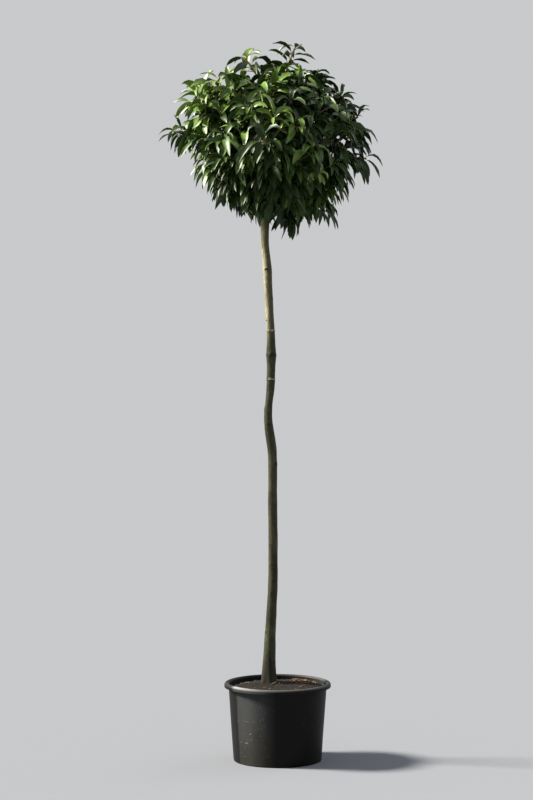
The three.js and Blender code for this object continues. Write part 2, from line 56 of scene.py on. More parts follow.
# Studio: where the light comes from, how strong it is, how wide it looks in degrees and its colour
KEY = ((-5, 0.5, 4.1), 13.2, 12, (1, 0.94, 0.82))
FILL = ((4.5, 3.2, 3.6), 0.7, 40, (0.95, 0.97, 1))
BACKGROUND_COLOUR = (0.97, 0.98, 1)
BACKGROUND_STRENGTH = 0.6
FLOOR_REACH = 60

# Trunk, as in the solids
SOIL_TOP = 257
TRUNK_FOOT = SOIL_TOP + 0.3
TRUNK_TOP = 1945
TRUNK_SWAY = [
    (TRUNK_FOOT, -31, 38), (420, -25, 37), (600, -16, 32), (900, -17, 18), (1040, -18, 11),
    (1160, -32, 6), (1265, -24, 4), (1400, -22, 2), (1560, -30, -4), (1680, -36, -5), (1760, -43, -3),
    (TRUNK_TOP, -36, 0),
]
TRUNK_PLACE = TRUNK_SWAY[0][1:]
TRUNK_RADII = (16.4, 12.8)
FLARE_RADIUS = 11
FLARE_HEIGHT = 112
ROOT_RIDGES = 5
ROOT_RIDGE_SHARE = 0.1
ROOT_RIDGE_HEIGHT = 45
TRUNK_KNOTS = [(1075, 1.3, 45), (1215, -2, 38), (1371, 2.4, 26), (1656, 1.8, 30), (1840, 2, 50)]
TRUNK_RINGS = 420
TRUNK_SIDES = 44

# Bark: depth, width and length of its lumps and grain. Lumps also have what makes them fractal. Ridges go
# round a ring in the noise, and have its radius in place of a width, as the dents of the pot do.
LUMPS = (0.75, 38, 70, 0.8, 2.1, 4)
RIDGES = (0.35, 3.2, 55)
GRAIN = (0.22, 3.5, 9)

# Scars of pruned side shoots: height, angle from +X in degrees, size and the swelling round them
SCARS = [
    (428, 205, 8, 0.9), (604, 288, 7, 0.8), (660, 250, 8, 1.2), (727, 236, 7, 1.0), (860, 300, 5, 0.6),
    (1001, -48, 12, 2.4), (1078, 100, 7, 1.2), (1136, 262, 10, 1.6), (1188, 178, 9, 2.2),
    (1245, 40, 6, 0.8), (1330, 140, 7, 1.2), (1371, 285, 12, 2.6), (1486, 210, 6, 0.8),
    (1560, 330, 7, 1.0), (1656, 250, 9, 1.5), (1742, 60, 7, 1.2),
]
SCAR_ARC_RADIUS = 15
SCAR_FLATNESS = 0.75
SCAR_TINT_REACH = 0.75
SCAR_SWELL_REACH = 3
SCAR_SWELL_SPREAD = 1.4
SCAR_PIT_SHARE = 1.1
SCAR_PIT_SPREAD = 0.16

# The tints of the bark, and the rings where a year's growth ended: height, half their width and tint, and
# how they swell and wander
PLAIN, DARK, PALE = range(3)
RINGS = [(1290, 1.5, PALE), (1371, 2.2, DARK), (1453, 2.2, PALE), (1612, 1, PALE)]
RING_SWELL = 0.9
RING_SPREAD = 4
RING_WANDER = (2.4, 1.3, 1)

# Crown, as in the solids. A whorl has a height, its stagger, the share of a limb that is bough, the bough's
# radius and its lift. A mass has a whorl, azimuth, elevation and reach, and a shoot has the last three.
CROWN_CENTRE = np.array([-10.0, 0.0, 2066.0])
CROWN_TOP = 2424
CROWN_FLATNESS = 0.9
LOBE_SHARPNESS = 5
SPACE_SHARE = 0.52
STEM_SHARE = 0.64
WHORLS = {
    "leader": (TRUNK_TOP, 0, 0.66, 9.5, 1),
    "upper": (1882, 8, 0.66, 8, 0.5),
    "lower": (1836, 10, 0.44, 7, 0.25),
}
MASSES = [
    ("top", "leader", 60, 84, 296),
    ("upper_right", "upper", 16, 35, 330),
    ("upper_back", "upper", 106, 35, 326),
    ("upper_left", "upper", 188, 34, 366),
    ("upper_front", "upper", 282, 35, 328),
    ("lower_right", "lower", -14, -14, 346),
    ("lower_back_right", "lower", 56, -14, 332),
    ("lower_back_left", "lower", 130, -14, 322),
    ("lower_left", "lower", 200, -14, 292),
    ("lower_front", "lower", 273, -14, 326),
]
SHOOTS = [
    ("top", 0, 79.5, 378), ("top", 196, 72, 348), ("upper_left", 184, 8.5, 344),
    ("upper_left", 178, 38, 326), ("upper_left", 196, 53, 318), ("upper_right", 2, 22, 296),
    ("lower_right", -5, -8, 308), ("upper_back", 92, 26, 306), ("upper_back", 124, 50, 300),
    ("lower_front", 262, 2, 302),
]
TWIG_PLACES = 112
LOWEST_PLACE = -0.985
TWIG_REACH_SHARE = 0.73
TWIG_JITTER = 16
BRANCH_ANGLE = math.radians(45)
FORK_SHARES = np.arange(2, 11) / 10
BOUGH_SET_OFF = 0.4
TWIG_SET_OFF = 0.3
TWIG_STRAIGHTNESS = 0.4
BOUGH_TIP_SHARE = 0.68
STEM_TIP_SHARE = 0.45

# Wood that only the visual model has: radii at the root and the tip, and sides and rings of the meshes
TWIG_RADII = (3.6, 2)
SHOOT_RADII = (5, 3.2)
SPRIG_RADII = (2.1, 1.1)
BOUGH_MESH = (16, 26)
STEM_MESH = (10, 16)
TWIG_MESH = (6, 9)
SPRIG_MESH = (4, 6)

# Ridges that wind round the boughs: how many, the height that they climb in a radian, how deep they are, and
# how far the next bough's are turned
LIMB_RIDGES = [(3, 7, 0.3, 1), (5, -4.3, 0.18, 0)]
LIMB_RIDGE_SHARE = 8

# Sprigs carry the leaves. Each shell has a number of places spread evenly round the crown, at a share of the
# way to its outline.
SHELLS = [(195, 0.83), (100, 0.64), (36, 0.4)]
SPRIG_JITTER = 64
SPRIG_LONGEST = 230
SPRIG_SAG = 0.16
SPRIG_FORKS = 12
FIRST_FORK = 0.25
LAST_FORK = 0.97
FORK_TURN_COST = 0.6
OPENING_SIZE = 60
OPENING_LEVEL = -0.2
HANG_ELEVATION = -38
HANG_SPREAD = 24
HANG_SHARE = 0.2
YOUNG = 3
YOUNG_SPRIGS = [(-57, -19, 296), (24, 34, 290), (118, 4, 292)]
YOUNG_LEAF_SHARE = 0.6
LEAVES_PER_SPRIG = 9
LEAVES_PER_SHOOT = 15
FIRST_LEAF = 0.3
FIRST_SHOOT_LEAF = 0.42
LAST_LEAF = 0.99

# Where the crown is fuller or thinner than its reach: azimuth, elevation, spread in degrees and share
FULLNESS = [(186, 36, 34, 0.09), (215, -58, 34, -0.16), (300, -70, 26, -0.03), (0, 18, 20, 0.08)]

# Where the sky shows through the crown from the front: x, z and radius
SKY_GAPS = [
    (150, 2050, 11), (176, 2048, 9), (198, 2088, 8), (222, 2082, 9), (244, 2045, 6), (222, 2022, 7),
    (-93, 2308, 13), (-68, 2282, 8), (-284, 2232, 11), (-178, 2276, 9), (260, 2160, 9), (293, 2138, 8),
    (290, 2036, 6), (60, 1960, 7),
]

# Leaves: length, width, the places along them and how wide they are there, and how they fold and wave
LEAF_LENGTH = 88
LEAF_WIDTH = 25.5
LEAF_STATIONS = np.array([0, 0.1, 0.19, 0.34, 0.52, 0.7, 0.87, 1])
LEAF_OUTLINE = np.array([0.09, 0.12, 0.58, 0.92, 1, 0.82, 0.42, 0])
LEAF_FOLD = 0.55
LEAF_WAVE = 0.16
LEAF_WAVE_PITCH = 9
BREADTH_CHANGE = 0.2
BREADTH_PITCH = 3.7
LEAF_SIZES = (0.7, 1.16)
LAST_LEAF_SIZE = 0.8
SHOOT_LEAF_SIZE = 1.12

# How leaves stand: angles from the wood in degrees, first and last, how far they lean up, turn and droop, and
# their jitter
LEAF_ANGLES = (72, 38)
SHOOT_ANGLES = (66, 22)
SHOOT_TIP_POWER = 6
LEAF_ANGLE_JITTER = 24
LEAF_TURN_JITTER = 0.7
LEAF_LIFT = 0.15
LEAF_AXIS_LIFT = 0.8
SHOOT_AXIS_LIFT = 0.25
LEAF_LOOK_UP = 1.1
LEAF_LOOK_JITTER = 0.6
LEAF_TWIST = 3
LEAF_DROOP_HIGH = (0.7, 1.9)
LEAF_DROOP_LOW = (1.8, 3.8)
HOLD_STEPS = 12
HOLD_STEP = 0.25
HOLD_SIZE_SHARE = 0.65

# Leaf tints from shade to sun: name, two colours, roughness and gloss. A spray, the leaves of one sprig, has
# one tint with a few strays. The shares say how often each tint is dealt.
LEAF_TINTS = [
    ("leaf_dark", (0.011, 0.026, 0.004), (0.017, 0.037, 0.006), 0.44, 0.26),
    ("leaf_deep", (0.017, 0.038, 0.005), (0.026, 0.055, 0.008), 0.44, 0.26),
    ("leaf_mid", (0.035, 0.075, 0.01), (0.054, 0.11, 0.016), 0.42, 0.38),
    ("leaf_fresh", (0.08, 0.15, 0.018), (0.12, 0.206, 0.03), 0.4, 0.52),
    ("leaf_sunlit", (0.115, 0.17, 0.024), (0.18, 0.24, 0.048), 0.4, 0.5),
]
BRIGHTEST = len(LEAF_TINTS) - 1
# Sprays that face the sunny side are dealt brighter tints and the rest darker ones: painted sunlight and
# painted shade, besides fresher growth on the sunny side. The brightest tint is young leaves, and painted
# sunlit glints where it is dealt to other sprays.
SUNNY_SHARES = np.array([0.03, 0.1, 0.33, 0.49, 0.05])
SHADY_SHARES = np.array([0.48, 0.4, 0.1, 0.02, 0])
INNER_SHARES = np.array([0.6, 0.3, 0.1, 0, 0])
SUNNY_SIDE = (186, 50)
STRAY_FROM = 0.8

# Pot, as in the solids
POT_HEIGHT = 265
RIM_RADIUS = 180
RIM_DROP = 15
WALL_TOP_RADIUS = 166
WALL_FOOT_RADIUS = 149
WALL_THICKNESS = 2.5
FLOOR_THICKNESS = 3
DRAIN_COUNT = 8
DRAIN_RADIUS = 7
DRAIN_RING_RADIUS = 118
POT_SEGMENTS = 144

# Shape of the pot: the drop of the shoulder under the rim and of the wall's top, the bevel at the foot, the
# rounding of corners, and how far the wall is dented and where
SHOULDER_DROP = 4
WALL_TOP_DROP = 9
FOOT_BEVEL = 2
AXIS_GAP = 0.5
FLOOR_RING_RADIUS = 60
CORNER_ROUNDING = 1.4
CORNER_SHARE = 2.2
CORNER_STEPS = 3
DENTS = (0.9, 1.3, 150)
DENTED_FROM = 8
DENTED_TO = POT_HEIGHT - 20
DRAIN_SIDES = 20
DRAIN_CUT = 6
SHARP_EDGE = 40

# Where the wall is dusty, as shares of a turn from -X through the front, and how thick the dusty film is. The
# band on the front left is also painted sunlight, with a painted shadow edge on its left side.
DUST_AND_SUNLIT_BANDS = [(0.088, 0), (0.096, 0.8), (0.15, 1), (0.2, 0.9), (0.245, 0), (0.47, 0), (0.55, 0.7), (0.66, 0)]
# How pale the top of the rim is, as shares of a turn from -X through the front: dusty in places, and
# brightest at the front left, where it is a painted highlight
RIM_DUST_AND_HIGHLIGHT = [
    (0.08, 0.06), (0.1, 1), (0.14, 0.7), (0.2, 0.25), (0.36, 0.16), (0.45, 0.04), (0.6, 0.2), (0.85, 0),
]

# Flecks of dried mud on the wall: azimuth, height, width, length and lean in degrees. Stray ones have ranges
# of heights, widths and lengths.
FLECKS = [
    (-121, 211, 3, 4, 0), (-119, 229, 3, 3, 0), (-115, 209, 4, 3, 30), (-113, 193, 2, 13, 4),
    (-111, 160, 3, 4, 0), (-107, 163, 4, 4, 20), (-105, 188, 2, 3, 0), (-116, 150, 3, 3, 0),
    (-125, 110, 4.5, 19, -58), (-121, 104, 3, 7, -20), (-132, 77, 7.5, 21, 84), (-135, 58, 3, 27, 6),
    (-128, 88, 1.8, 34, 86), (-131, 151, 2.2, 34, 88), (-140, 40, 3, 5, 10),
]
STRAY_FLECKS = 26
STRAY_RANGES = ((12, 225), (1.5, 3.5), (2, 6))
FLECK_SIDES = 10
FLECK_RAGGEDNESS = (0.7, 1.15)
FLECK_ROOT = -0.5
FLECK_THICKNESS = 0.7
FLECK_CROWN_SHARE = 0.6

# Soil, lower at the wall. Its lumps and grit have a level in the noise and a form like the bark's. Mounds
# have a middle, spread and rise: one at the back right, one round the trunk.
SOIL_EDGE_DROP = 11
SOIL_LEVEL_RADIUS = 86
SOIL_FINE_RINGS = 46
SOIL_SEGMENTS = 120
SOIL_GAP = 0.3
SOIL_SINK = 1.2
SOIL_NOISE = [(3.1, (2.2, 24, 1, 0.7, 2.2, 4)), (8.2, (0.9, 4.5, 1))]
MOUNDS = [((85, 75), 60, 5.5), (TRUNK_PLACE, 38, 8)]

# Dry chips on the soil. Heaped and loose ones have a middle, spread and shares of orange, brown and pale.
CHIP_COUNT = 340
HEAPED_SHARE = 0.76
HEAPED_CHIPS = ((92, 66), 52, (0.55, 0.35, 0.1))
LOOSE_CHIPS = ((0, 0), 150, (0.12, 0.78, 0.1))
CHIP_SIZES = (2.5, 9.5)
CHIP_BREADTH = 0.9
CHIP_THICKNESS = (0.8, 1.3)
CHIP_TILT = 0.7
CHIP_REST = 0.6
CHIP_WALL_GAP = 2
CHIP_TRUNK_GAP = 30
CHIP_CORNERS = np.array([
    [1, 0, 0], [0.2, 0.42, 0.1], [-1, 0.1, 0], [-0.1, -0.45, 0.05], [0, 0, 0.34], [0, 0, -0.2],
])
CHIP_FACES = [(0, 1, 4), (1, 2, 4), (2, 3, 4), (3, 0, 4), (1, 0, 5), (2, 1, 5), (3, 2, 5), (0, 3, 5)]
PALE_CHIP = 2

# Dry stalks on the soil: place, direction in degrees and length
DRY_STALKS = [
    (-18, -4, 38, 32), (-96, 28, 160, 14), (74, -48, 8, 16), (-30, -92, 20, 12), (-20, 110, 200, 20),
]
STALK_RADII = (1.7, 0.8)
STALK_REST = 1.5
STALK_BEND = 0.7
STALK_RISE = 0.25
STALK_SWEEP = 0.5
STALK_MESH = (5, 8)


# Repeatable random numbers from 0 to 1, the same as those that the solids grow by
def seeded(seed):
    mask = 0xFFFFFFFF
    state = seed

    def draw():
        nonlocal state
        state = (state + 0x6D2B79F5) & mask
        mixed = ((state ^ (state >> 15)) * (1 | state)) & mask
        mixed = ((mixed + (mixed ^ (mixed >> 7)) * (61 | mixed)) & mask) ^ mixed
        return (mixed ^ (mixed >> 14)) / 4294967296

    return draw


def jitter(random, width):
    """A random number round zero"""
    return (random() - 0.5) * width


def blend(start, end, share):
    return start + (end - start) * share


def unit(vectors):
    return vectors / np.linalg.norm(vectors, axis=-1, keepdims=True)


def around(radius, angle, height=0, middle=(0, 0)):
    """A point at a radius and an angle from an upright axis"""
    return middle[0] + radius * math.cos(angle), middle[1] + radius * math.sin(angle), height


def towards(azimuth, elevation):
    rise = math.radians(elevation)
    return np.array(around(math.cos(rise), math.radians(azimuth), math.sin(rise)))


def turned(x, y, angle):
    return x * math.cos(angle) - y * math.sin(angle), x * math.sin(angle) + y * math.cos(angle)


def even_angles(count):
    return np.arange(count) / count * FULL_TURN


def uneven(point, depth, width, length, *fractal):
    """How far a surface stands out at a point where it is lumpy"""
    x, y, z = point
    place = Vector((x / width, y / width, z / length))
    return depth * (noise.fractal(place, *fractal) if fractal else noise.noise(place))


def uneven_round(angle, height, depth, ring, length):
    """How far a round wall stands out where it isn't quite round"""
    return depth * noise.noise(Vector(around(ring, angle, height / length)))


def crown_point(direction, distance):
    offset = direction * distance
    return CROWN_CENTRE + offset * [1, 1, CROWN_FLATNESS]


def crown_offset(point):
    return (point - CROWN_CENTRE) / [1, 1, CROWN_FLATNESS]


# Curves are kept as many points, and read at a share of their length
class Path:
    STEP = 0.01

    def __init__(self, points):
        self.points = np.asarray(points, dtype=float)
        steps = np.linalg.norm(np.diff(self.points, axis=0), axis=1)
        self.marks = np.concatenate([[0], np.cumsum(steps)])
        self.length = self.marks[-1]

    def at(self, share):
        place = np.asarray(share) * self.length
        return np.stack([np.interp(place, self.marks, self.points[:, k]) for k in range(3)], axis=-1)

    def along(self, share):
        ahead = self.at(np.minimum(np.asarray(share) + self.STEP, 1))
        return unit(ahead - self.at(np.maximum(np.asarray(share) - self.STEP, 0)))


def bent(root, bend, end, count=33):
    t = np.linspace(0, 1, count)[:, None]
    return Path((1 - t) ** 2 * root + 2 * t * (1 - t) * bend + t**2 * end)


def swaying(points, count=40):
    """A smooth curve through points, with knots spaced by the root of their distance"""
    points = [np.array(point, dtype=float) for point in points]
    ring = [2 * points[0] - points[1], *points, 2 * points[-1] - points[-2]]
    found = []
    for p0, p1, p2, p3 in zip(ring, ring[1:], ring[2:], ring[3:]):
        d0, d1, d2 = (math.sqrt(np.linalg.norm(b - a)) for a, b in ((p0, p1), (p1, p2), (p2, p3)))
        start = d1 * ((p1 - p0) / d0 - (p2 - p0) / (d0 + d1) + (p2 - p1) / d1)
        end = d1 * ((p2 - p1) / d1 - (p3 - p1) / (d1 + d2) + (p3 - p2) / d2)
        t = np.linspace(0, 1, count, endpoint=False)[:, None]
        cubic = 2 * p1 - 2 * p2 + start + end
        square = -3 * p1 + 3 * p2 - 2 * start - end
        found.append(p1 + start * t + square * t**2 + cubic * t**3)
    return Path(np.concatenate([*found, points[-1][None]]))


def across_axis(direction):
    axis = np.zeros(3)
    axis[np.argmin(np.abs(direction))] = 1
    return axis


# Meshes from arrays
class Build:
    """Joins many small meshes, each of one kind, into the arrays of one piece"""

    def __init__(self):
        self.points = []
        self.faces = []
        self.tints = []
        self.count = 0

    def add(self, points, faces, tint=0):
        """Adds points with faces of one size, and gives the number of the first point"""
        start = self.count
        self.points.append(points)
        self.faces.extend((np.asarray(faces) + start).tolist())
        self.tints.extend([tint] * len(faces))
        self.count += len(points)
        return start

    def close(self, faces, start=0, tint=0):
        """Adds faces of any size between points that are there, numbered from the start"""
        self.faces.extend([tuple(corner + start for corner in face) for face in faces])
        self.tints.extend([tint] * len(faces))

    def add_rings(self, points, sides):
        """Adds rings of points, with faces between them and a face at each end"""
        rings = len(points) // sides
        last = (rings - 1) * sides
        start = self.add(np.array(points), ring_faces(rings, sides))
        self.close([tuple(reversed(range(sides))), tuple(range(last, last + sides))], start)

    def mesh(self, name):
        mesh = bpy.data.meshes.new(name)
        mesh.from_pydata(np.concatenate(self.points) * MILLIMETRE, [], self.faces)
        return mesh

    def piece(self, name, materials, *nodes):
        mesh = self.mesh(name)
        for each in materials:
            mesh.materials.append(each)
        mesh.polygons.foreach_set("material_index", self.tints)
        mesh.shade_smooth()
        piece = placed(name, mesh)
        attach(piece, "root")
        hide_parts(*nodes)
        return piece


def placed(name, data):
    made = bpy.data.objects.new(name, data)
    bpy.context.scene.collection.objects.link(made)
    return made


def ring_faces(rings, sides):
    faces = []
    for ring in range(rings - 1):
        for side in range(sides):
            ahead = (side + 1) % sides
            low = ring * sides
            faces.append((low + side, low + ahead, low + sides + ahead, low + sides + side))
    return faces


def add_tube(build, path, start, end, sides, rings, radius_at, tint=0):
    """A tapering tube along a stretch of a path, with a point at its end"""
    shares = np.linspace(start, end, rings)
    reference = across_axis(path.at(end) - path.at(start))
    centres = path.at(shares)
    along = path.along(shares)
    side = unit(reference - (along @ reference)[..., None] * along)
    other = np.cross(side, along)
    angles = even_angles(sides)
    radii = radius_at(np.linspace(0, 1, rings)[:, None], angles[None, :], centres[:, None, 2])
    out = np.cos(angles)[None, :, None] * side[:, None, :] + np.sin(angles)[None, :, None] * other[:, None, :]
    points = (centres[:, None, :] + radii[..., None] * out).reshape(-1, 3)
    tip = centres[-1] + along[-1] * radii[-1].mean()
    first = build.add(np.vstack([points, tip]), ring_faces(rings, sides), tint)
    last = (rings - 1) * sides
    cap = [(last + k, last + (k + 1) % sides, len(points)) for k in range(sides)]
    build.close(cap, first, tint)


# Trunk
TRUNK = swaying([(aside, back, height) for height, aside, back in TRUNK_SWAY])


def trunk_radius(height, angle):
    above = height - TRUNK_FOOT
    radius = blend(*TRUNK_RADII, above / (TRUNK_TOP - TRUNK_FOOT))
    radius = radius + FLARE_RADIUS * np.exp(-above / FLARE_HEIGHT)
    for centre, change, spread in TRUNK_KNOTS:
        radius = radius + change * np.exp(-(((height - centre) / spread) ** 2))
    ridge = ROOT_RIDGE_SHARE * np.exp(-above / ROOT_RIDGE_HEIGHT)
    return radius * (1 + ridge * np.cos(ROOT_RIDGES * angle))


def trunk_axis_at(height):
    heights = TRUNK.points[:, 2]
    return np.array([np.interp(height, heights, TRUNK.points[:, k]) for k in range(2)] + [height])


# Boughs and stems
class Mass:
    def __init__(self, index, side, whorl, azimuth, elevation, reach):
        height, stagger, share, radius, lift = WHORLS[whorl]
        self.side = side
        self.direction = towards(azimuth, elevation)
        root = trunk_axis_at(height + (stagger if index % 2 else -stagger))
        end = crown_point(self.direction, reach * STEM_SHARE)
        way = end - root
        outward = unit(way * [1, 1, 0])
        set_off = unit(outward * (1 - lift) + UP * lift)
        self.path = bent(root, root + set_off * np.linalg.norm(way) * BOUGH_SET_OFF, end)
        self.centre = crown_point(self.direction, reach * SPACE_SHARE)
        self.bough_end = share
        self.root_radius = radius
        self.tip_radius = radius * BOUGH_TIP_SHARE
        self.twigs = []
        self.sprigs = []


LIMBS = [Mass(index, *form) for index, form in enumerate(MASSES)]
CENTRES = np.array([mass.centre for mass in LIMBS])
DIRECTIONS = np.array([mass.direction for mass in LIMBS])
REACHES = np.array([reach for *_, reach in MASSES])


def reach_towards(direction):
    pull = np.exp(LOBE_SHARPNESS * (DIRECTIONS @ direction))
    return float(pull @ REACHES / pull.sum())


def mass_at(point):
    return LIMBS[int(np.argmin(np.linalg.norm(CENTRES - point, axis=1)))]


# Twigs
def even_direction(index, count):
    z = 1 - 2 * (index + 0.5) / count
    return np.array(around(math.sqrt(1 - z * z), index * GOLDEN_ANGLE, z))


class Wood:
    """A twig or sprig, with the tangent of what it grows from carried on into it"""

    def __init__(self, root, set_off, tip, shoot=False, level=0, sag=0):
        way = tip - root
        bend = root + set_off * np.linalg.norm(way) * TWIG_SET_OFF
        bend = blend(bend, (root + tip) / 2, TWIG_STRAIGHTNESS) - UP * np.linalg.norm(way) * sag
        self.path = bent(root, bend, tip)
        self.reference = across_axis(way)
        self.shoot = shoot
        self.level = level


def best_fork(path, first, tip):
    """The share of a path where a branch to the tip leaves it nearest to the branch angle"""
    shares = blend(first, 1, FORK_SHARES)
    way = unit(tip - path.at(shares))
    turn = np.arccos(np.clip((way * path.along(shares)).sum(axis=1), -1, 1))
    return shares[int(np.argmin(np.abs(turn - BRANCH_ANGLE)))]


def grow_twig(mass, tip, shoot):
    share = best_fork(mass.path, mass.bough_end, tip)
    mass.twigs.append(Wood(mass.path.at(share), mass.path.along(share), tip, shoot))


def grow_twigs():
    random = seeded(7)
    for side, azimuth, elevation, reach in SHOOTS:
        mass = next(each for each in LIMBS if each.side == side)
        grow_twig(mass, crown_point(towards(azimuth, elevation), reach), True)
    for index in range(TWIG_PLACES):
        direction = even_direction(index, TWIG_PLACES)
        tip = crown_point(direction, reach_towards(direction) * TWIG_REACH_SHARE)
        tip = tip + [jitter(random, TWIG_JITTER) for _ in range(3)]
        if direction[2] >= LOWEST_PLACE:
            grow_twig(mass_at(tip), tip, False)


def grow_sprig(mass, tip, shell):
    """A sprig leaves the wood of its mass where that is near, and where the fork is neither flat nor sharp"""
    best = None
    for twig in mass.twigs + [mass]:
        first = FIRST_FORK if twig is not mass else mass.bough_end
        shares = np.linspace(first, LAST_FORK, SPRIG_FORKS)
        roots = twig.path.at(shares)
        way = tip - roots
        length = np.linalg.norm(way, axis=1)
        turn = np.arccos(np.clip((way * twig.path.along(shares)).sum(axis=1) / length, -1, 1))
        cost = length * (1 + FORK_TURN_COST * np.abs(turn - BRANCH_ANGLE))
        pick = int(np.argmin(cost))
        if best is None or cost[pick] < best[0]:
            best = (cost[pick], roots[pick], twig.path.along(shares[pick]), length[pick])
    if best[3] < SPRIG_LONGEST:
        mass.sprigs.append(Wood(best[1], best[2], tip, level=shell, sag=SPRIG_SAG))


def fullness(direction):
    """How far sprigs reach. Low on the sides they end sooner, because their leaves hang below them."""
    elevation = math.degrees(math.asin(direction[2]))
    share = 1 - HANG_SHARE * math.exp(-(((elevation - HANG_ELEVATION) / HANG_SPREAD) ** 2))
    for azimuth, height, spread, change in FULLNESS:
        away = math.degrees(math.acos(min(direction @ towards(azimuth, height), 1)))
        share += change * math.exp(-((away / spread) ** 2))
    return share


def grow_sprigs():
    random = seeded(23)
    for azimuth, elevation, distance in YOUNG_SPRIGS:
        tip = crown_point(towards(azimuth, elevation), distance)
        grow_sprig(mass_at(tip), tip, YOUNG)
    for shell, (count, share) in enumerate(SHELLS):
        for index in range(count):
            direction = even_direction(index, count)
            tip = crown_point(direction, reach_towards(direction) * share * fullness(direction))
            tip = tip + [jitter(random, SPRIG_JITTER) for _ in range(3)]
            open_here = noise.noise(Vector(tip / OPENING_SIZE)) < OPENING_LEVEL
            if direction[2] >= LOWEST_PLACE and not open_here:
                grow_sprig(mass_at(tip), tip, shell)


# Leaves
def pick_tint(shares, draw):
    total = 0
    for tint, share in enumerate(shares):
        total += share
        if draw < total:
            return tint
    return 0


def spray_tint(wood, draw):
    outward = unit(crown_offset(wood.path.at(1.0)))
    if wood.level == YOUNG:
        return BRIGHTEST
    if wood.level:
        return pick_tint(INNER_SHARES, draw)
    # Painted light: the more a spray faces the sunny side, the brighter its tint
    sunny = max(outward @ towards(*SUNNY_SIDE), 0)
    return pick_tint(blend(SHADY_SHARES, SUNNY_SHARES, sunny), draw)


def held_down(centre, set_off, size):
    """The direction of a leaf, turned down until its tip stays under the top of the crown"""
    for _ in range(HOLD_STEPS):
        if centre[2] + set_off[2] * size * HOLD_SIZE_SHARE < CROWN_TOP:
            break
        set_off = unit(set_off - UP * HOLD_STEP)
    return set_off


def clear_of_gaps(ribs):
    """Which leaves leave the gaps open, seen from the camera"""
    eye = np.array(CAMERA_PLACE) / MILLIMETRE
    clear = np.ones(len(ribs), dtype=bool)
    for x, z, radius in SKY_GAPS:
        sight = unit(np.array([x, 0, z]) - eye)
        away = np.linalg.norm(np.cross(ribs - eye, sight), axis=2)
        clear &= away.min(axis=1) > radius
    return clear


def leaf_axis(wood, share):
    """The way that leaves stand round, which leans up from the wood, and two directions across it"""
    axis = unit(wood.path.along(share) + UP * (SHOOT_AXIS_LIFT if wood.shoot else LEAF_AXIS_LIFT))
    side = unit(wood.reference - (wood.reference @ axis) * axis)
    return axis, side, np.cross(side, axis)


